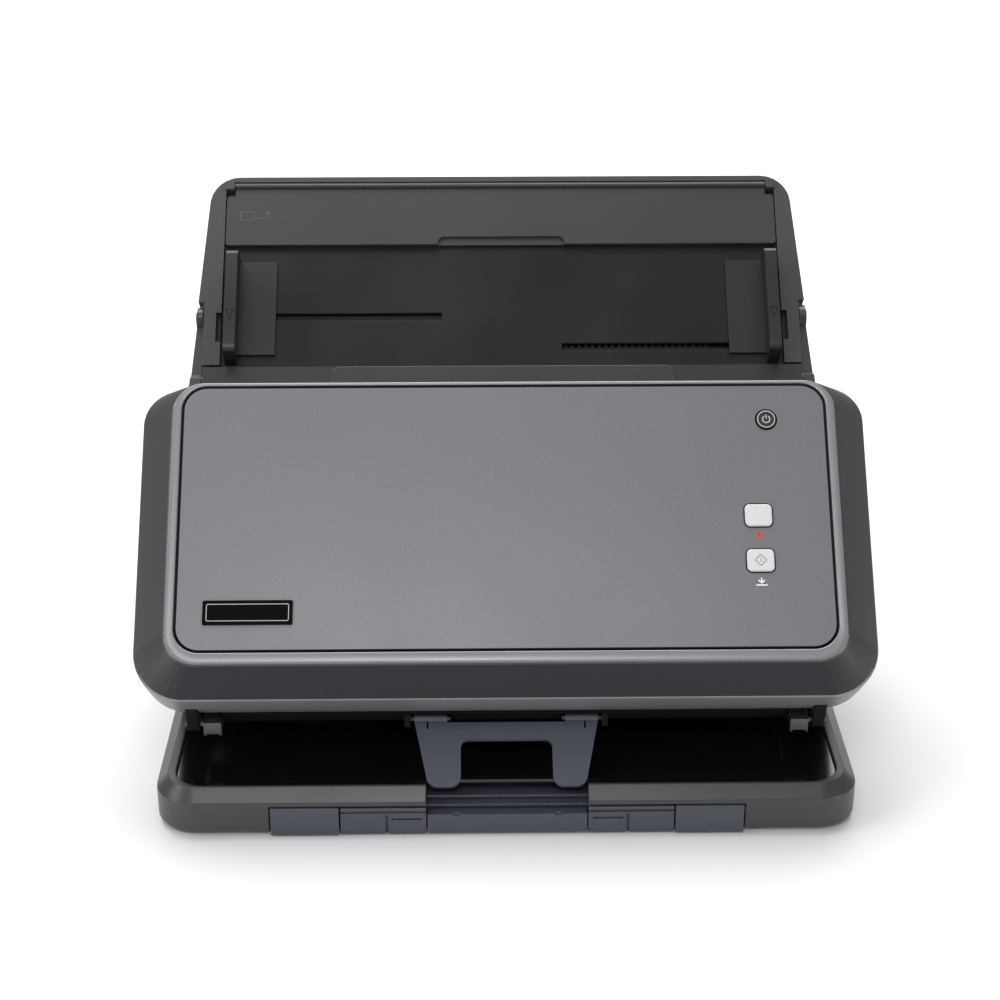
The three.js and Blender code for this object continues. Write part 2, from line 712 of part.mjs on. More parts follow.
function guidePinion() {
  const outline = gearOutline(12, 1, Math.PI / 2).map(([u, v]) => [u, pinionAt + v]);
  return cut(upright(shapeOf(outline), -8.6, -6.2), post(2 + gap, 0, pinionAt, -10, -5, 16));
}

// An arm from the rear housing to the chute's pivot. Its outer face follows the chute's drawn in side.
function chuteArm(side) {
  const [pc, pm] = chutePivot;
  const outer = arm.inner + 6;
  const bar = across(
    [[12.9, -3.3], [15, -2.4], [19, -2.4], [21, -5.2], [pc, -5.2], [pc, -10.7], [27, -10.7], [23.6, -14]],
    ...sided(side, arm.inner, outer),
  );
  const eye = rod(5.2, ...sided(side, arm.inner, outer), pc, pm, 24);
  const outside = [
    [side * (chuteHalf(0) + 0.3), 0],
    [side * (outer + 1), 0],
    [side * (outer + 1), 70],
    [side * (chuteHalf(70) + 0.3), 70],
  ];
  return cut(
    join(bar, eye),
    upright(shapeOf(outside), -20, 5),
    rod(3.3, ...sided(side, arm.inner - 1, outer + 1), pc, pm, 16),
  );
}

// ---------------------------------------------------------------- flap, brackets
// Two legs joined at the top, hanging from the exit beam. Half of its outline, from the pivot's side
// at the middle to the tip and back, is mirrored.
function stopFlap() {
  const [py, pz] = flapPivot;
  const lean = Math.atan2(17.5 - pz, 7.5 - py); // from the pivot to the tip
  const tip = 33.4;
  const bridge = 11;
  const half = [
    [26, 2.4], [26, 1], [34.2, 1], [34.2, 5.5], [35, 5.5], [35, 1], [40.5, 1], [35.2, tip - 6],
    [34.7, tip - 3.2], [33.4, tip - 1.1], [31.4, tip], [23.8, tip], [21.9, tip - 0.8], [20.5, tip - 2.6],
    [20, tip - 4.6],
    [20, bridge + 3], [19, bridge + 0.8], [17, bridge],
  ];
  const mirrored = half.map(([x, s]) => [-x, s]).reverse();
  const plate = upright(shapeOf([...half, ...mirrored]), -0.9, 0.9)
    .rotate([THREE.MathUtils.radToDeg(lean), 0, 0])
    .translate([0, py, pz]);
  const barrel = (side) => rod(1.9, ...sided(side, 26, 40.5), py, pz, 12);
  const pin = (side) => rod(0.95, ...sided(side, 24.6, 44.4), py, pz, 10);
  return join(plate, barrel(-1), barrel(1), pin(-1), pin(1));
}

function hingeBracket(side) {
  const [py, pz] = hingePivot;
  const [x0, x1] = sided(side, 124.6, 132.4);
  const outline = [
    [py - 3.4, pz + 2], [py - 3.4, pz - 3.6], [py + 2.4, pz - 3.6], [py + 13, pz - 5], [py + 16, pz + 2],
    [py + 11, pz + 5.6], [py + 2, pz + 3.2],
  ];
  const prong = (x) => block(x, x + 1.2, py - 3.2, py + 2, pz - 4.6, pz - 3);
  const pin = rod(1.8, ...sided(side, 132, 140.6), py, pz, 12);
  return join(across(outline, x0, x1), prong(x0), prong(x1 - 1.2), pin);
}

// ---------------------------------------------------------------- assembly
const scanner = new THREE.Group();
const rowFrame = new THREE.Group();
rowFrame.position.set(0, -midY, -tableLevel);
const pathFrame = new THREE.Group();
pathFrame.position.set(0, pathOrigin[0], pathOrigin[1]);
pathFrame.rotation.x = pathLean;
const chuteFrame = new THREE.Group();
chuteFrame.position.set(0, chuteOrigin[0], chuteOrigin[1]);
chuteFrame.rotation.x = chuteLean;
rowFrame.add(pathFrame, chuteFrame);
scanner.add(rowFrame);

function place(frame, name, solid, material) {
  const mesh = new THREE.Mesh(toGeometry(solid), material);
  mesh.name = name;
  frame.add(mesh);
}

place(rowFrame, "base_shell", baseShell(), shellGrey);
place(rowFrame, "bottom_plate", bottomPlate(), partBlack);
place(rowFrame, "output_bed", outputBed(), bedBlack);
for (const [name, x, y] of [
  ["foot_front_left", -120, 26], ["foot_front_right", 120, 26],
  ["foot_rear_left", -120, 148], ["foot_rear_right", 120, 148],
])
  place(rowFrame, name, post(7, x, y, tableLevel, base.bottom, 20), rubber);
place(rowFrame, "exit_tray_outer", trayStage(tray1, tray2.halfWidth, tray1.top, -0.7, 9), smokeGrey);
place(rowFrame, "exit_tray_middle", trayTwo(), smokeGrey);
place(rowFrame, "exit_tray_inner", trayThree(), smokeGrey);
place(rowFrame, "rear_housing", rearHousing(), shellGrey);
place(rowFrame, "exit_beam", exitBeam(), partBlack);
place(rowFrame, "stop_flap", stopFlap(), smokeGrey);
place(rowFrame, "hinge_bracket_left", hingeBracket(-1), steel);
place(rowFrame, "hinge_bracket_right", hingeBracket(1), steel);
place(rowFrame, "main_board", block(-95, 105, 158, 159.6, 36, 122), board);
place(rowFrame, "power_socket", powerSocket(), partBlack);
place(rowFrame, "usb_socket", usbSocket(), steel);

place(pathFrame, "paper_guide", paperGuide(), partBlack);
place(pathFrame, "side_frame_left", sideFrame(-1), steel);
place(pathFrame, "side_frame_right", sideFrame(1), steel);
place(pathFrame, "scan_module_lower", scanModule(-60, -44.2, sensorLow), partBlack);
place(pathFrame, "scan_glass_lower", scanGlass(-43.8, sensorLow), glass);
place(pathFrame, "drive_motor", driveMotor(), steel);
for (const [name, tyres, t] of [
  ["feed_roller", [[-18, 18]], feedAt],
  ["transport_roller", pair, transportAt],
  ["exit_roller", pair, exitAt],
])
  place(pathFrame, name, roller(rollerRadius, 3, -138, 130, tyres, t, driveLevel), rubber);
for (const name of ["feed_gear", "transport_gear", "exit_gear"])
  place(pathFrame, name, gearSolid(name, bored), nylon);
for (const name of ["idler_gear_small", "idler_gear_large"])
  place(pathFrame, name, gearSolid(name, onAxle(-125)), nylon);
place(pathFrame, "motor_pinion", gearSolid("motor_pinion", onAxle(-115)), steel);

place(pathFrame, "cover_shell", coverShell(), shellGrey);
place(pathFrame, "front_panel", frontPanel(), panelGrey);
place(pathFrame, "badge", roundedBlock(-129.2, -90.8, 16.9, 27.7, 0, 0.5, 0.8, 2), bedBlack);
place(pathFrame, "cover_liner", coverLiner(), partBlack);
place(pathFrame, "scan_module_upper", scanModule(-36, -22, 36.1), partBlack);
place(pathFrame, "scan_glass_upper", scanGlass(-38, 36.1), glass);
place(pathFrame, "button_board", block(98, 126, 34, 118, -9.2, -7.6), board);
place(pathFrame, "cover_lip", coverLip(), shellGrey);
place(pathFrame, "power_button", keySolid(keys.power, 0, -6, 0.3), partBlack);
place(pathFrame, "cancel_button", keySolid(keys.cancel, 0, -6, 0.8), keyWhite);
place(pathFrame, "scan_button", keySolid(keys.scan, 0, -6, 0.8), keyWhite);
place(pathFrame, "separation_roller", roller(7, 2, -24, 24, [[-16, 16]], feedAt, -32.85), rubber);
place(pathFrame, "transport_idler", roller(idlerRadius, 2, -62, 62, pair, transportAt, idlerLevel), rubber);
place(pathFrame, "exit_idler", roller(idlerRadius, 2, -62, 62, pair, exitAt, idlerLevel), rubber);

place(chuteFrame, "feed_throat", feedThroat(), partBlack);
place(chuteFrame, "chute_arm_left", chuteArm(-1), shellGrey);
place(chuteFrame, "chute_arm_right", chuteArm(1), shellGrey);
place(chuteFrame, "chute_tray", chuteTray(), shellGrey);
place(chuteFrame, "chute_back", chuteBack(), partBlack);
place(chuteFrame, "chute_extension", chuteExtension(), shellGrey);
place(chuteFrame, "guide_left", sideGuide(-1), partBlack);
place(chuteFrame, "guide_right", sideGuide(1), partBlack);
place(chuteFrame, "guide_pinion", guidePinion(), nylon);

export default scanner;
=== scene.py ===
"""Looks for the sheet fed document scanner: materials, rounded edges, and the small pieces that the
solids leave out. Lengths are in millimetres until a mesh is made, and in metres after that.

Three frames share one X axis: row (y from the base's front edge, z from 2 mm above the table), path (y up
the paper path, z out of the front panel) and chute (y up the chute, z off its face)."""

import math

import bmesh
import bpy
from mathutils import Matrix, Vector


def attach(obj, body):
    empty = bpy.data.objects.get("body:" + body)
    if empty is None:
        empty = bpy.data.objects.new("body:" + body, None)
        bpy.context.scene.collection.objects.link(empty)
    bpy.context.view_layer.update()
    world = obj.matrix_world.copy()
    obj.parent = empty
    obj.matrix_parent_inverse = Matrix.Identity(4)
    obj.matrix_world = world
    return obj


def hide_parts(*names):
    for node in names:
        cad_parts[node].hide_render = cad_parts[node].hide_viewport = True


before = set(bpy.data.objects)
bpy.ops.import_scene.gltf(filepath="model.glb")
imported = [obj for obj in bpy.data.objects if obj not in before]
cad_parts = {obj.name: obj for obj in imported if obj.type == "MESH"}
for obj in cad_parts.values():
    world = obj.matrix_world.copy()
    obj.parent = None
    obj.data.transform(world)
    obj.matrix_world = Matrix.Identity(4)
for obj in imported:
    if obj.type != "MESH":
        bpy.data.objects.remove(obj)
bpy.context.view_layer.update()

MM = 0.001
MID_Y = 111.08  # the model's origin, in the row frame
STANDING = 2  # the row frame's height above the table
PATH_ORIGIN = (12.8, 76.1)
PATH_LEAN = 47
CHUTE_ORIGIN = (129.1, 142.1)
CHUTE_LEAN = 45


def frame_at(origin, lean):
    """The matrix of a frame whose origin is (y, z) in the row frame, turned back by lean degrees."""
    y, z = origin
    place = Matrix.Translation((0, (y - MID_Y) * MM, (z + STANDING) * MM))
    return place @ Matrix.Rotation(math.radians(lean), 4, "X")


ROW = frame_at((0, 0), 0)
PATH = frame_at(PATH_ORIGIN, PATH_LEAN)
CHUTE = frame_at(CHUTE_ORIGIN, CHUTE_LEAN)

# The front cover, in the path frame.
CREST_HALF = 145.5
CREST_LENGTH = 127.6
CREST_CORNER = 14
SEAT_HALF = 141.4
SEAT_LOW = 5
SEAT_HIGH = 125.4
SEAT_CORNER = 11
BEVEL = 14  # its depth
BEVEL_OUT = 14.8  # how far it stands out at the sides
BEVEL_LOW = 13  # and at the lower end
OUTER_LOW_CORNER = 22
OUTER_HIGH_CORNER = 16
COVER_DEPTH = 38
CROWN = 2  # how far the top edge rises towards the back
CREST_TURN = 3.0  # radius of the turn from the crest to the bevel
SKIRT_TURN = 2.4  # and of the turn from the bevel to the skirt
WALL = 3.5
HINGE_PIVOT = (-16.285, -42.803)
LUG_AT = 136.75  # how far each hinge arm is from the middle
LUG_WIDTH = 5.5
KEYS = {"power": (114.8, 108.4), "cancel": (109.3, 64.3), "scan": (109.3, 44)}
KEY_WIDTH = 12.86  # of the cancel and scan keys' surrounds
KEY_HEIGHT = 11.06
KEY_CORNER = 2.7

# Heights of the ink on each face, bottom and top.
PANEL_INK = (-0.22, -0.12)
POWER_INK = (0.28, 0.42)
SCAN_INK = (0.78, 0.86)
BADGE_INK = (0.46, 0.56)
EXTENSION_INK = (-0.22, -0.10)
GUIDE_INK = (9.98, 10.0)

BACK = 168  # the housing's back wall, in the row frame


# ---------------------------------------------------------------- materials
def new_material(name):
    material = bpy.data.materials.new(name)
    material.use_nodes = True
    nodes = material.node_tree.nodes
    shader = nodes["Principled BSDF"]
    return material, nodes, material.node_tree.links, shader


def noise(nodes, links, scale, detail, stretch=(1, 1, 1)):
    """A noise in object space, whose scale is in features a metre."""
    place = nodes.new("ShaderNodeTexCoord")
    mapping = nodes.new("ShaderNodeMapping")
    mapping.inputs["Scale"].default_value = stretch
    texture = nodes.new("ShaderNodeTexNoise")
    texture.inputs["Scale"].default_value = scale
    texture.inputs["Detail"].default_value = detail
    links.new(place.outputs["Object"], mapping.inputs["Vector"])
    links.new(mapping.outputs["Vector"], texture.inputs["Vector"])
    return texture.outputs["Fac"]


def spread(nodes, links, factor, low, high):
    """Maps a noise's usual span onto low to high."""
    remap = nodes.new("ShaderNodeMapRange")
    remap.inputs["From Min"].default_value = 0.3
    remap.inputs["From Max"].default_value = 0.7
    remap.inputs["To Min"].default_value = low
    remap.inputs["To Max"].default_value = high
    links.new(factor, remap.inputs["Value"])
    return remap.outputs["Result"]


def bumped(nodes, links, shader, height, strength, depth):
    bump = nodes.new("ShaderNodeBump")
    bump.inputs["Strength"].default_value = strength
    bump.inputs["Distance"].default_value = depth
    links.new(height, bump.inputs["Height"])
    links.new(bump.outputs["Normal"], shader.inputs["Normal"])


def tinted(nodes, links, shader, factor, dark, light):
    ramp = nodes.new("ShaderNodeValToRGB")
    ramp.color_ramp.elements[0].position = 0.35
    ramp.color_ramp.elements[0].color = (*dark, 1)
    ramp.color_ramp.elements[1].position = 0.65
    ramp.color_ramp.elements[1].color = (*light, 1)
    links.new(factor, ramp.inputs["Fac"])
    links.new(ramp.outputs["Color"], shader.inputs["Base Color"])


def moulded(name, color, rough, grain=1800, texture=0.12, vary=0.04, metallic=0.0, coat=0.0, sheen=0.5):
    """Moulded plastic: a fine spark-eroded grain, and roughness and tone that drift a little."""
    material, nodes, links, shader = new_material(name)
    shader.inputs["Specular IOR Level"].default_value = sheen
    drift = noise(nodes, links, 14, 2)
    links.new(spread(nodes, links, drift, rough - vary, rough + vary), shader.inputs["Roughness"])
    fine = noise(nodes, links, grain, 2)
    shade = [channel * 0.9 for channel in color]
    tint = [min(1, channel * 1.1) for channel in color]
    tinted(nodes, links, shader, fine, shade, tint)
    bumped(nodes, links, shader, fine, texture, 0.00006)
    shader.inputs["Metallic"].default_value = metallic
    shader.inputs["Coat Weight"].default_value = coat
    shader.inputs["Coat Roughness"].default_value = 0.12
    return material


def brushed(name, color, rough):
    material, nodes, links, shader = new_material(name)
    streaks = noise(nodes, links, 60, 6, (1, 30, 30))
    tinted(nodes, links, shader, streaks, [c * 0.8 for c in color], color)
    links.new(spread(nodes, links, streaks, rough - 0.08, rough + 0.1), shader.inputs["Roughness"])
    bumped(nodes, links, shader, streaks, 0.08, 0.00005)
    shader.inputs["Metallic"].default_value = 1.0
    return material


def clear_glass(name):
    material, nodes, links, shader = new_material(name)
    smears = noise(nodes, links, 30, 3)
    links.new(spread(nodes, links, smears, 0.02, 0.07), shader.inputs["Roughness"])
    shader.inputs["Base Color"].default_value = (0.55, 0.62, 0.64, 1)
    shader.inputs["IOR"].default_value = 1.5
    shader.inputs["Alpha"].default_value = 0.45
    return material


def circuit(name):
    """Solder mask over copper: a lighter net of tracks on dark green."""
    material, nodes, links, shader = new_material(name)
    place = nodes.new("ShaderNodeTexCoord")
    tracks = nodes.new("ShaderNodeTexVoronoi")
    tracks.feature = "DISTANCE_TO_EDGE"
    tracks.distance = "CHEBYCHEV"
    tracks.inputs["Scale"].default_value = 260
    links.new(place.outputs["Object"], tracks.inputs["Vector"])
    ramp = nodes.new("ShaderNodeValToRGB")
    ramp.color_ramp.elements[0].position = 0.05
    ramp.color_ramp.elements[0].color = (0.03, 0.22, 0.08, 1)
    ramp.color_ramp.elements[1].position = 0.09
    ramp.color_ramp.elements[1].color = (0.008, 0.09, 0.03, 1)
    links.new(tracks.outputs["Distance"], ramp.inputs["Fac"])
    links.new(ramp.outputs["Color"], shader.inputs["Base Color"])
    bumped(nodes, links, shader, tracks.outputs["Distance"], 0.15, 0.00004)
    shader.inputs["Roughness"].default_value = 0.35
    return material


SHELL_COLOR = (0.040, 0.041, 0.044)
# Painted shade: a darker copy of the shell's colour for the cover's lower bevel, which faces forward and
# down.
PAINTED_SHADE_COLOR = (0.019, 0.0195, 0.024)
SHELL = moulded("shell_plastic", SHELL_COLOR, 0.36)


def painted_shade_tone(share):
    """A tone on the cover's lower corners, between the lower bevel's painted shade and the side bevels' shell
    colour: painted shade that fades as the corner turns.
    """
    color = [dark + share * (light - dark) for dark, light in zip(PAINTED_SHADE_COLOR, SHELL_COLOR)]
    return moulded(f"shell_painted_shade_{round(100 * share)}", color, 0.35, sheen=0.22 + share * (0.5 - 0.22))


# The lower bevel's painted shade in TONES steps, from the full shade to the shell's own colour round the
# corners.
TONES = 9
PAINTED_SHADE_TONES = [painted_shade_tone(step / (TONES - 1)) for step in range(TONES)]
# Painted light: the skirt is the shell's plastic painted lighter, to stand for the light thrown up onto it
# from the floor.
SKIRT_PAINTED_LIGHT = moulded("skirt_painted_light", (0.155, 0.156, 0.160), 0.4, texture=0.06)
# Painted highlight: the strip round the panel and the cover's lower edge are the shell's plastic painted
# lighter, to stand for the sheen on them.
STRIP_PAINTED_SHEEN = moulded("frame_painted_sheen", (0.215, 0.217, 0.228), 0.3, grain=2600, texture=0.04, metallic=0.3)
LID = moulded("lid_plastic", (0.022, 0.0225, 0.025), 0.42)
PANEL = moulded("panel_paint", (0.158, 0.159, 0.170), 0.4, grain=2600, texture=0.06, metallic=0.35)
BED = moulded("bed_gloss", (0.0045, 0.0045, 0.005), 0.16, grain=900, texture=0.01, vary=0.03, coat=0.3)
FLOOR = moulded("chute_floor", (0.008, 0.008, 0.0095), 0.28, grain=900, texture=0.03)
INNER = moulded("inner_black", (0.010, 0.010, 0.011), 0.5)
DEEP = moulded("deep_black", (0.004, 0.004, 0.0045), 0.6, sheen=0.2)
FIN = moulded("guide_black", (0.011, 0.0115, 0.015), 0.36, texture=0.06)
SMOKE = moulded("smoke_plastic", (0.050, 0.054, 0.071), 0.34, texture=0.05, coat=0.15)
FLAP = moulded("flap_plastic", (0.088, 0.094, 0.118), 0.34, texture=0.05, coat=0.15)
KEY = moulded("key_plastic", (0.60, 0.59, 0.61), 0.35, texture=0.04)
RUBBER = moulded("rubber", (0.016, 0.016, 0.017), 0.8, grain=700, texture=0.4)
NYLON = moulded("nylon", (0.68, 0.66, 0.58), 0.4, texture=0.08)
STEEL = brushed("zinc_steel", (0.62, 0.63, 0.65), 0.3)
DARK_ZINC = brushed("dark_zinc", (0.16, 0.16, 0.17), 0.38)
GLASS = clear_glass("scan_glass")
BOARD = circuit("circuit_board")
# Black for the back seam's joint line, and painted shade in the gaps round the keys and in the screws'
# crosses.
JOINT_AND_SHADE_BLACK = moulded("joint_and_painted_shade_black", (0.004, 0.004, 0.004), 0.7, sheen=0.2)
BADGE = moulded("badge_black", (0.0025, 0.0025, 0.0025), 0.6, texture=0.01, vary=0.02, sheen=0.04)
RED_INK = moulded("red_ink", (0.62, 0.045, 0.04), 0.5, texture=0.02)
WHITE_INK = moulded("white_ink", (0.85, 0.85, 0.85), 0.5, texture=0.02)
GREY_INK = moulded("grey_ink", (0.20, 0.17, 0.15), 0.5, texture=0.02)
PALE_INK = moulded("pale_ink", (0.42, 0.42, 0.43), 0.4, texture=0.02)
FAINT_INK = moulded("faint_ink", (0.075, 0.077, 0.085), 0.45, texture=0.02)
CHIP = moulded("chip_black", (0.015, 0.015, 0.016), 0.45)


# ---------------------------------------------------------------- meshes
def piece(name, mesh, space, material, body, smooth=True, replaces=()):
    """Turns a bmesh in millimetres of one frame into a named piece that rides on a body."""
    bmesh.ops.transform(mesh, matrix=space @ Matrix.Scale(MM, 4), verts=mesh.verts)
    bmesh.ops.recalc_face_normals(mesh, faces=mesh.faces)
    data = bpy.data.meshes.new(name)
    mesh.to_mesh(data)
    mesh.free()
    for polygon in data.polygons:
        polygon.use_smooth = smooth
    data.materials.append(material)
    made = bpy.data.objects.new(name, data)
    bpy.context.collection.objects.link(made)
    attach(made, body)
    if replaces:
        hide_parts(*replaces)
    return made


def rounded_ring(x, y0, y1, r, z, steps, high=None):
    """Points round a rectangle, from the lower right corner. r rounds its corners, and high those at y1."""
    high = r if high is None else high
    corners = [(x - r, y0 + r, -90, r), (x - high, y1 - high, 0, high)]
    corners += [(-x + high, y1 - high, 90, high), (-x + r, y0 + r, 180, r)]
    points = []
    for cx, cy, start, r in corners:
        for i in range(steps + 1):
            angle = math.radians(start + 90 * i / steps)
            points.append((cx + r * math.cos(angle), cy + r * math.sin(angle), z))
    return points


def rounded_outline(x, y0, y1, r, steps, inset=0, centre=0):
    """A flat rectangle of half width x with round corners, drawn in by inset and moved along x to centre."""
    ring = rounded_ring(x - inset, y0 + inset, y1 - inset, r - inset, 0, steps)
    return [(centre + u, v) for u, v, _ in ring]


def loft(rings):
    """A skin through rings of equal length, from the last one back to the first."""
    mesh = bmesh.new()
    loops = [[mesh.verts.new(point) for point in ring] for ring in rings]
    count = len(rings[0])
    for low, high in zip(loops, loops[1:] + loops[:1]):
        for i in range(count):
            j = (i + 1) % count
            mesh.faces.new((low[i], low[j], high[j], high[i]))
    return mesh


def slab(outline, z0, z1, mesh=None):
    """A flat outline given thickness, added to a mesh or in one of its own."""
    mesh = mesh or bmesh.new()
    low = [mesh.verts.new((x, y, z0)) for x, y in outline]
    high = [mesh.verts.new((x, y, z1)) for x, y in outline]
    mesh.faces.new(low)
    mesh.faces.new(high)
    count = len(outline)
    for i in range(count):
        j = (i + 1) % count
        mesh.faces.new((low[i], low[j], high[j], high[i]))
    return mesh


def bar(x0, x1, y0, y1, z0, z1, mesh):
    slab([(x0, y0), (x1, y0), (x1, y1), (x0, y1)], z0, z1, mesh)


def stroke(a, b, width, z0, z1, mesh=None):
    """A straight line of ink from a to b."""
    start, end = Vector(a), Vector(b)
    side = (end - start).normalized().orthogonal() * (width / 2)
    outline = [start + side, start - side, end - side, end + side]
    return slab([tuple(point) for point in outline], z0, z1, mesh)


def outlined(tips, width, ink):
    """Lines of ink round a polygon."""
    mesh = bmesh.new()
    for a, b in zip(tips, tips[1:] + tips[:1]):
        stroke(a, b, width, *ink, mesh)
    return mesh


def disc(cx, cy, radius, sides=32):
    return [
        (cx + radius * math.cos(math.tau * i / sides), cy + radius * math.sin(math.tau * i / sides))
        for i in range(sides)
    ]


def band(outer, inner, z0, z1):
    """A flat ring between two outlines of equal length."""
    levels = ((outer, z0), (outer, z1), (inner, z1), (inner, z0))
    return loft([[(x, y, z) for x, y in outline] for outline, z in levels])


def softened(made, width):
    """Rounds a piece's edges that turn by more than 32 degrees."""
    bevel = made.modifiers.new("bevel", "BEVEL")
    bevel.width = width * MM
    bevel.segments = 2
    bevel.limit_method = "ANGLE"
    bevel.angle_limit = math.radians(32)
    bevel.harden_normals = True
    weighted = made.modifiers.new("weighted", "WEIGHTED_NORMAL")
    weighted.keep_sharp = True
    weighted.weight = 80


def dress(node, material, width):
    """Gives a CAD node its material, and rounds its edges if width isn't 0."""
    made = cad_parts[node]
    made.data.materials.clear()
    made.data.materials.append(material)
    if not width:
        return
    for polygon in made.data.polygons:
        polygon.use_smooth = True
    weld = made.modifiers.new("weld", "WELD")
    weld.merge_threshold = 0.00001
    merge = made.modifiers.new("flatten", "DECIMATE")
    merge.decimate_type = "DISSOLVE"
    merge.angle_limit = math.radians(0.6)
    softened(made, width)


# ---------------------------------------------------------------- front cover
def cover_ring(side, height, rise):
    """One ring of the cover. side runs out from the crest's edge, up to BEVEL, and rise is how far the ring's
    top edge stands past the crest's."""
    if side < 0:
        share = -side / (CREST_HALF - SEAT_HALF)
        corner = CREST_CORNER - share * (CREST_CORNER - SEAT_CORNER)
        return rounded_ring(CREST_HALF + side, share * SEAT_LOW, CREST_LENGTH + rise, corner, height, 16)
    share = side / BEVEL
    low = CREST_CORNER + share * (OUTER_LOW_CORNER - CREST_CORNER)
    high = CREST_CORNER + share * (OUTER_HIGH_CORNER - CREST_CORNER)
    half = CREST_HALF + share * BEVEL_OUT
    return rounded_ring(half, -share * BEVEL_LOW, CREST_LENGTH + rise, low, height, 16, high)


def cover_profile():
    """(side, height, rise) of each ring, from the panel's seat over the crest, down the outside of the cover
    and back up its inside."""
    seat = SEAT_HALF - CREST_HALF
    lip = SEAT_HIGH - CREST_LENGTH
    profile = [(seat, -2.7, lip), (seat, -0.5, lip)]
    profile += [(seat + 0.15, -0.15, lip + 0.1), (seat + 0.5, 0, lip + 0.3)]
    tangent = math.tan(math.radians(45 / 2))  # each turn is an arc of 45 degrees in five steps
    for step in range(6):
        angle = math.radians(9 * step)
        out = CREST_TURN * (math.sin(angle) - tangent)
        profile.append((out, CREST_TURN * (math.cos(angle) - 1), 0))
    for step in range(6):
        angle = math.radians(45 + 9 * step)
        out = BEVEL + SKIRT_TURN * (math.sin(angle) - 1)
        profile.append((out, -BEVEL + SKIRT_TURN * (math.cos(angle) - tangent), 0))
    hem = -COVER_DEPTH
    rest = [(BEVEL, -22), (BEVEL - 0.1, -30), (BEVEL - 0.3, hem + 1)]
    rest += [(BEVEL - 0.6, hem + 0.3), (BEVEL - 1.3, hem), (BEVEL - 3.2, hem)]
    rest += [(BEVEL - WALL, hem + 0.4), (BEVEL - 3, -18), (-7, -5.4), (-12, -4.4), (-12, -2.7)]
    profile += [(out, height, 0) for out, height in rest]
    return profile


def crown_rise(side, height, rise):
    """The rise of a ring on the outside: the top edge rounds over in 1.8 mm, and then leans back to CROWN."""
    if rise < 0:
        return rise
    if height > -COVER_DEPTH + 1 and side > -3:
        back = -height / COVER_DEPTH
        return CROWN * back + 0.9 * (min(1, -height / 1.8) - 1)
    return CROWN


def ring_rise(side, height, rise):
    """The rise of any ring: a wall's thickness less inside the skirt, and in line with side by the panel."""
    if side <= -7:
        return side + 2
    if BEVEL - WALL - 0.1 < side < BEVEL - 0.9 and -COVER_DEPTH - 1 < height < -BEVEL - 3:
        return CROWN - 2.5
    return crown_rise(side, height, rise)


def front_cover():
    rings = []
    for side, height, rise in cover_profile():
        rings.append(cover_ring(side, height, ring_rise(side, height, rise)))
    made = piece("cover_frame", loft(rings), PATH, SHELL, "cover", replaces=["cover_shell"])
    # The painted highlight, the painted light and the painted shade tones are added to the cover as further
    # finishes.
    for finish in (STRIP_PAINTED_SHEEN, SKIRT_PAINTED_LIGHT, *PAINTED_SHADE_TONES):
        made.data.materials.append(finish)
    into_path = PATH.inverted()
    for polygon in made.data.polygons:
        middle = into_path @ polygon.center / MM
        polygon.material_index = cover_finish(middle, abs(polygon.normal.x))


def cover_finish(middle, sideways):
    """A face's finish: 0 shell, 1 the strip and the lower edge, painted lighter as a highlight, 2 the skirt,
    painted lighter as light from the floor, 3 and up the lower bevel's painted shade tones. sideways is how
    far its normal faces left or right, from 0 to 1."""
    # The strip round the panel takes the painted highlight.
    if middle.z > -0.3 and abs(middle.x) < CREST_HALF - 0.5:
        return 1
    # The skirt takes its painted light.
    if middle.z < -BEVEL - 0.75 and middle.y < 12 and sideways < 0.93:
        return 2
    # The turn from the lower bevel into the skirt takes the painted highlight as a bright edge line.
    below = -middle.y > 0.2 * (BEVEL + middle.z) and sideways < 0.62
    if below and middle.z < -BEVEL + 0.9 and middle.y < 2:
        return 1
    # The lower bevel and its corners take the painted shade tones, which fade out as the faces turn sideways.
    if middle.y < OUTER_LOW_CORNER and -BEVEL < middle.z < -1:
        turned = min(1, sideways / math.sin(math.radians(45)))
        share = math.asin(turned) / math.radians(90)
        return 3 + min(TONES - 1, int(share * TONES))
    return 0


def cover_lug(side):
    """A hinge arm under the cover's skirt, drawn from the side and turned upright."""
    pivot_y, pivot_z = HINGE_PIVOT
    outline = [(-10.6, -28), (-12.2, -28), (pivot_y - 3.6, pivot_z + 1.4), (pivot_y - 2.4, pivot_z - 3.2)]
    outline += [(pivot_y + 2.8, pivot_z - 2.6), (-10.6, -37)]
    mesh = slab(outline, -LUG_WIDTH / 2, LUG_WIDTH / 2)
    turn = Matrix(((0, 0, 1, side * LUG_AT), (1, 0, 0, 0), (0, 1, 0, 0), (0, 0, 0, 1)))
    bmesh.ops.transform(mesh, matrix=turn, verts=mesh.verts)
    name = "cover_lug_" + ("left" if side < 0 else "right")
    softened(piece(name, mesh, PATH, DEEP, "cover"), 0.5)


def key_surround(name):
    """A black band lining the gap round a key: painted shade in the gap."""
    x, t = KEYS[name]
    box = (KEY_WIDTH / 2, t - KEY_HEIGHT / 2, t + KEY_HEIGHT / 2, KEY_CORNER, 8)
    outer = rounded_outline(*box, centre=x)
    inner = rounded_outline(*box, inset=0.5, centre=x)
    made = piece(name + "_surround", band(outer, inner, -2.4, -0.05), PATH, JOINT_AND_SHADE_BLACK, "cover", smooth=False)
    softened(made, 0.12)


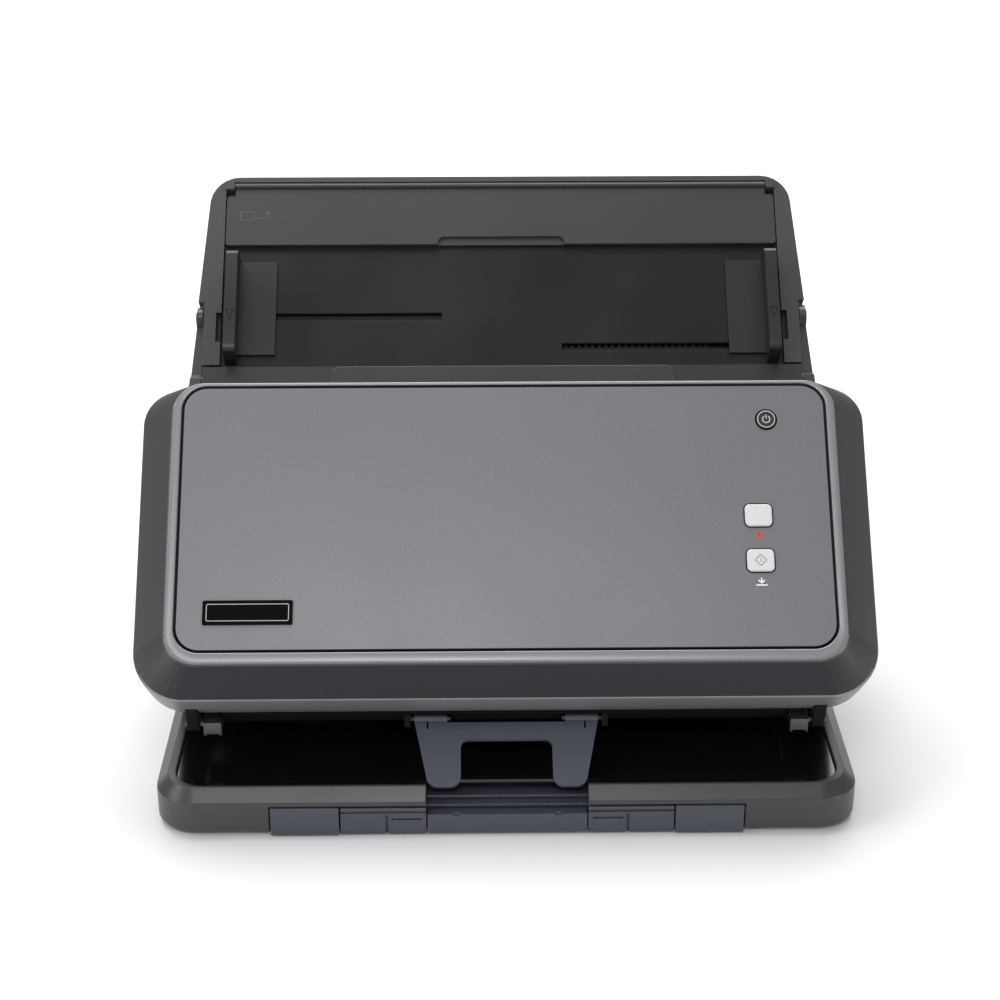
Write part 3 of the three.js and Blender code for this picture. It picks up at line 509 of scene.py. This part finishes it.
def power_marks():
    """A ring round the power key, and the usual power symbol on it."""
    x, t = KEYS["power"]
    ring = band(disc(x, t, 3.95, 48), disc(x, t, 3.5, 48), 0.25, 0.55)
    softened(piece("power_ring", ring, PATH, PALE_INK, "power_key", smooth=False), 0.1)
    mesh = stroke((x, t + 0.3), (x, t + 2.1), 0.5, *POWER_INK)
    gap = math.radians(32)  # half of the opening at the top of the symbol
    steps = 28
    outer, inner = [], []
    for i in range(steps + 1):
        angle = math.pi / 2 + gap + (math.tau - 2 * gap) * i / steps
        outer.append((x + 1.85 * math.cos(angle), t + 1.85 * math.sin(angle)))
        inner.append((x + 1.35 * math.cos(angle), t + 1.35 * math.sin(angle)))
    slab(outer + inner[::-1], *POWER_INK, mesh)
    piece("power_symbol", mesh, PATH, PALE_INK, "power_key", smooth=False)


def scan_marks():
    """A start diamond on the key, and under it an arrow that runs onto a line."""
    x, t = KEYS["scan"]
    reach = 2.5
    mesh = outlined([(x + reach, t), (x, t + reach), (x - reach, t), (x, t - reach)], 0.3, SCAN_INK)
    stroke((x, t - 0.8), (x, t + 0.8), 0.35, *SCAN_INK, mesh)
    piece("start_symbol", mesh, PATH, GREY_INK, "scan_key", smooth=False)
    low = t - 10.9  # the line's height
    mesh = stroke((x, low + 3.2), (x, low + 1.2), 0.55, *PANEL_INK)
    stroke((x - 1.3, low + 2.2), (x, low + 0.9), 0.5, *PANEL_INK, mesh)
    stroke((x + 1.3, low + 2.2), (x, low + 0.9), 0.5, *PANEL_INK, mesh)
    stroke((x - 2.4, low), (x + 2.4, low), 0.5, *PANEL_INK, mesh)
    piece("feed_mark", mesh, PATH, WHITE_INK, "cover", smooth=False)


def cancel_mark():
    """A cross under the cancel key."""
    x, t = KEYS["cancel"]
    low = t - 8.6
    reach = 1.7
    mesh = stroke((x - reach, low - reach), (x + reach, low + reach), 0.7, *PANEL_INK)
    stroke((x - reach, low + reach), (x + reach, low - reach), 0.7, *PANEL_INK, mesh)
    piece("cancel_cross", mesh, PATH, RED_INK, "cover", smooth=False)


def badge_mark():
    """A plain inlaid outline: the badge carries no name."""
    box = (17.6, 18.5, 26.1, 0.8, 4)
    outer = rounded_outline(*box, centre=-110)
    inner = rounded_outline(*box, inset=0.3, centre=-110)
    mesh = band(outer, inner, *BADGE_INK)
    piece("badge_outline", mesh, PATH, PALE_INK, "cover", smooth=False)


def exit_fingers():
    """Short ribs under the skirt that press the page's edge down as it leaves, 10 mm apart."""
    mesh = bmesh.new()
    half = 0.7
    for side in (-1, 1):
        for step in range(8):
            x = side * (47 + 10 * step)
            bar(x - half, x + half, -9.6, -3, -40.4, -37.9, mesh)
    softened(piece("exit_fingers", mesh, PATH, INNER, "cover"), 0.3)


def sheet_mark():
    """A sheet and an arrow that turns up, faint, at the extension's upper left."""
    x0, c0 = -124, 99.5
    corners = [(x0, c0), (x0 + 6.4, c0), (x0 + 6.4, c0 + 4.2), (x0, c0 + 4.2)]
    mesh = outlined(corners, 0.4, EXTENSION_INK)
    arrow = [((x0 + 8, c0 + 1), (x0 + 13, c0 + 1)), ((x0 + 13, c0 + 1), (x0 + 13, c0 + 4.4))]
    arrow += [((x0 + 13, c0 + 4.6), (x0 + 11.8, c0 + 3)), ((x0 + 13, c0 + 4.6), (x0 + 14.2, c0 + 3))]
    for a, b in arrow:
        stroke(a, b, 0.4, *EXTENSION_INK, mesh)
    piece("sheet_mark", mesh, CHUTE, FAINT_INK, "extension", smooth=False)


def guide_mark(side, body):
    """A triangle on top of a side guide, at the fullest height of a stack of pages."""
    x, c = side * 126.1, 45
    mesh = outlined([(x - 1.7, c + 3), (x + 1.7, c + 3), (x, c - 2)], 0.4, GUIDE_INK)
    piece(body + "_mark", mesh, CHUTE, PALE_INK, body, smooth=False)


def back_piece(name, mesh, out, z, material):
    """Places a mesh drawn in (x, z) with its depth pointing out, on the housing's back wall."""
    turn = Matrix(((1, 0, 0, 0), (0, 0, 1, BACK + out), (0, 1, 0, z), (0, 0, 0, 1)))
    bmesh.ops.transform(mesh, matrix=turn, verts=mesh.verts)
    piece(name, mesh, ROW, material, "base", smooth=False)


def screw(name, x, z):
    """A screw head with a cross in it, in a ring that stands a little out of the back wall."""
    arm = 1.5
    out = 0.15
    well = band(disc(x, 0, 4.2), disc(x, 0, 2.9), -0.5, 0)
    head = slab(disc(x, 0, 2.8), -0.5, -0.1)
    # The cross is a black slab on the head: painted shade for the recess of the drive.
    cross = stroke((x - arm, 0), (x + arm, 0), 0.6, -0.2, -0.04)
    stroke((x, -arm), (x, arm), 0.6, -0.2, -0.04, cross)
    back_piece(f"{name}_well", well, out, z, SHELL)
    back_piece(f"{name}_head", head, out, z, DARK_ZINC)
    back_piece(f"{name}_cross", cross, out, z, JOINT_AND_SHADE_BLACK)


def back_seam():
    """The line where the back cover meets the housing."""
    box = (141, 27, 131, 4, 6)
    seam = band(rounded_outline(*box), rounded_outline(*box, inset=0.6), -0.1, 0.06)
    back_piece("back_seam", seam, 0, 0, JOINT_AND_SHADE_BLACK)


def chips():
    """Parts on the two circuit boards."""
    main_chips = ((-60, 70, 14, 14), (-30, 100, 10, 6), (10, 60, 18, 18), (50, 95, 8, 12), (85, 70, 6, 10))
    mesh = bmesh.new()
    for x, z, wide, tall in main_chips:
        bar(x, x + wide, 156.4, 158.1, z, z + tall, mesh)
    softened(piece("board_chips", mesh, ROW, CHIP, "base"), 0.2)
    mesh = bmesh.new()
    for t in (52, 74, 92):
        bar(101, 107, t, t + 4, -10.4, -9.1, mesh)
    softened(piece("key_board_chips", mesh, PATH, CHIP, "cover"), 0.2)


def bottom_screws():
    """Screw heads under the bottom plate."""
    mesh = bmesh.new()
    for x in (-130, 130):
        for y in (16, 154):
            slab(disc(x, y, 3, 20), -0.75, -0.45, mesh)
    piece("bottom_screws", mesh, ROW, DARK_ZINC, "base", smooth=False)


def liner_ribs():
    """Runners on the liner that hold the page down on the guide."""
    mesh = bmesh.new()
    half = 0.5
    for x in (-104, -88, -72, -28.5, 28.5, 72, 88, 104):
        for start, end in ((0, 34), (55, 120)):
            bar(x - half, x + half, start, end, -38.9, -37.9, mesh)
    softened(piece("liner_ribs", mesh, PATH, INNER, "cover"), 0.25)


# ---------------------------------------------------------------- the CAD nodes
def dress_cad():
    plan = [  # material, edge radius, nodes
        (SHELL, 1.0, ["base_shell"]),
        (SHELL, 1.6, ["rear_housing"]),
        (SHELL, 1.1, ["chute_tray"]),
        (SHELL, 0.4, ["chute_arm_left", "chute_arm_right"]),
        (LID, 0.5, ["chute_extension", "cover_lip"]),
        (PANEL, 0.5, ["front_panel"]),
        (BED, 0.3, ["output_bed"]),
        (BADGE, 0.2, ["badge"]),
        (SMOKE, 0.3, ["exit_tray_outer", "exit_tray_middle", "exit_tray_inner"]),
        (FLAP, 0.5, ["stop_flap"]),
        (KEY, 0.7, ["cancel_button", "scan_button"]),
        (INNER, 0.3, ["power_button", "paper_guide", "feed_throat"]),
        (DEEP, 0.3, ["exit_beam", "cover_liner"]),
        (FIN, 0.7, ["guide_left", "guide_right"]),
        (INNER, 0.3, ["bottom_plate", "chute_back", "power_socket"]),
        (INNER, 0.3, ["scan_module_lower", "scan_module_upper"]),
        (DARK_ZINC, 0.4, ["hinge_bracket_left", "hinge_bracket_right"]),
        (STEEL, 0.3, ["side_frame_left", "side_frame_right"]),
        (STEEL, 0.4, ["drive_motor", "usb_socket"]),
        (RUBBER, 0.5, ["foot_front_left", "foot_front_right", "foot_rear_left", "foot_rear_right"]),
        (RUBBER, 0.3, ["feed_roller", "transport_roller", "exit_roller"]),
        (RUBBER, 0.3, ["separation_roller", "transport_idler", "exit_idler"]),
        (NYLON, 0, ["feed_gear", "transport_gear", "exit_gear", "idler_gear_small", "idler_gear_large"]),
        (NYLON, 0, ["guide_pinion"]),
        (STEEL, 0, ["motor_pinion"]),
        (GLASS, 0.2, ["scan_glass_lower", "scan_glass_upper"]),
        (BOARD, 0.1, ["main_board", "button_board"]),
    ]
    for material, width, names in plan:
        for name in names:
            dress(name, material, width)
    chute_floor()


def chute_floor():
    """The tray's sunk face is glossy black."""
    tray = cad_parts["chute_tray"].data
    tray.materials.append(FLOOR)
    into_chute = CHUTE.inverted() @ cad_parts["chute_tray"].matrix_world
    for polygon in tray.polygons:
        middle = into_chute @ polygon.center / MM
        turned = into_chute.to_3x3() @ polygon.normal
        if turned.z > 0.9 and -3.5 < middle.z < -2.5:  # it faces up, and lies 3 mm down
            polygon.material_index = 1


# ---------------------------------------------------------------- studio
def studio():
    bpy.ops.mesh.primitive_plane_add(size=12, location=(0, 1.5, 0))
    floor = bpy.context.object
    floor.name = "floor"
    material, nodes, links, shader = new_material("floor_white")
    shader.inputs["Base Color"].default_value = (0.80, 0.80, 0.80, 1)
    shader.inputs["Roughness"].default_value = 0.85
    floor.data.materials.append(material)

    world = bpy.data.worlds.new("studio")
    world.use_nodes = True
    sky = world.node_tree.nodes["Background"]
    sky.inputs["Color"].default_value = (1, 1, 1, 1)
    sky.inputs["Strength"].default_value = 0.28
    bpy.context.scene.world = world

    soft_light("overhead", (-0.1, 0.5, 1.6), (0, 0, 0), (1.8, 1.0), 29)
    soft_light("backdrop", (0, 2.0, 1.6), (0, 2.0, 0), (2.8, 1.4), 46)
    soft_light("front_key", (-0.12, -1.15, 1.35), (0, -0.05, 0.1), (0.7, 0.4), 6.5)
    soft_light("left_high", (-1.2, -0.3, 1.0), (0, 0, 0.1), (0.5, 0.5), 4)
    soft_light("left_front", (-1.0, -0.75, 0.22), (0, -0.05, 0.06), (0.3, 0.35), 3.2)
    soft_light("right_front", (1.0, -0.7, 0.22), (0, -0.05, 0.06), (0.25, 0.3), 3.0)


def soft_light(name, place, target, size, power):
    light = bpy.data.lights.new(name, "AREA")
    light.shape = "RECTANGLE"
    light.size, light.size_y = size
    light.energy = power
    holder = bpy.data.objects.new(name, light)
    holder.location = place
    holder.rotation_euler = (Vector(target) - Vector(place)).to_track_quat("-Z", "Y").to_euler()
    bpy.context.collection.objects.link(holder)


def camera():
    data = bpy.data.cameras.new("camera")
    data.sensor_width = 36
    data.lens = 72.7
    holder = bpy.data.objects.new("camera", data)
    holder.location = (-0.0134, (-730 - MID_Y) * MM, (498 + STANDING) * MM)
    holder.rotation_euler = (math.radians(65), 0, math.radians(-0.8))
    bpy.context.collection.objects.link(holder)
    bpy.context.scene.camera = holder
    bpy.context.scene.view_settings.view_transform = "Standard"


camera()
studio()
dress_cad()
front_cover()
for side in (-1, 1):
    cover_lug(side)
key_surround("cancel")
key_surround("scan")
power_marks()
scan_marks()
cancel_mark()
badge_mark()
liner_ribs()
exit_fingers()
sheet_mark()
guide_mark(-1, "left_guide")
guide_mark(1, "right_guide")
for number, place in enumerate(((-130, 36), (130, 36), (-130, 122), (130, 122)), 1):
    screw(f"back_screw_{number}", *place)
back_seam()
chips()
bottom_screws()
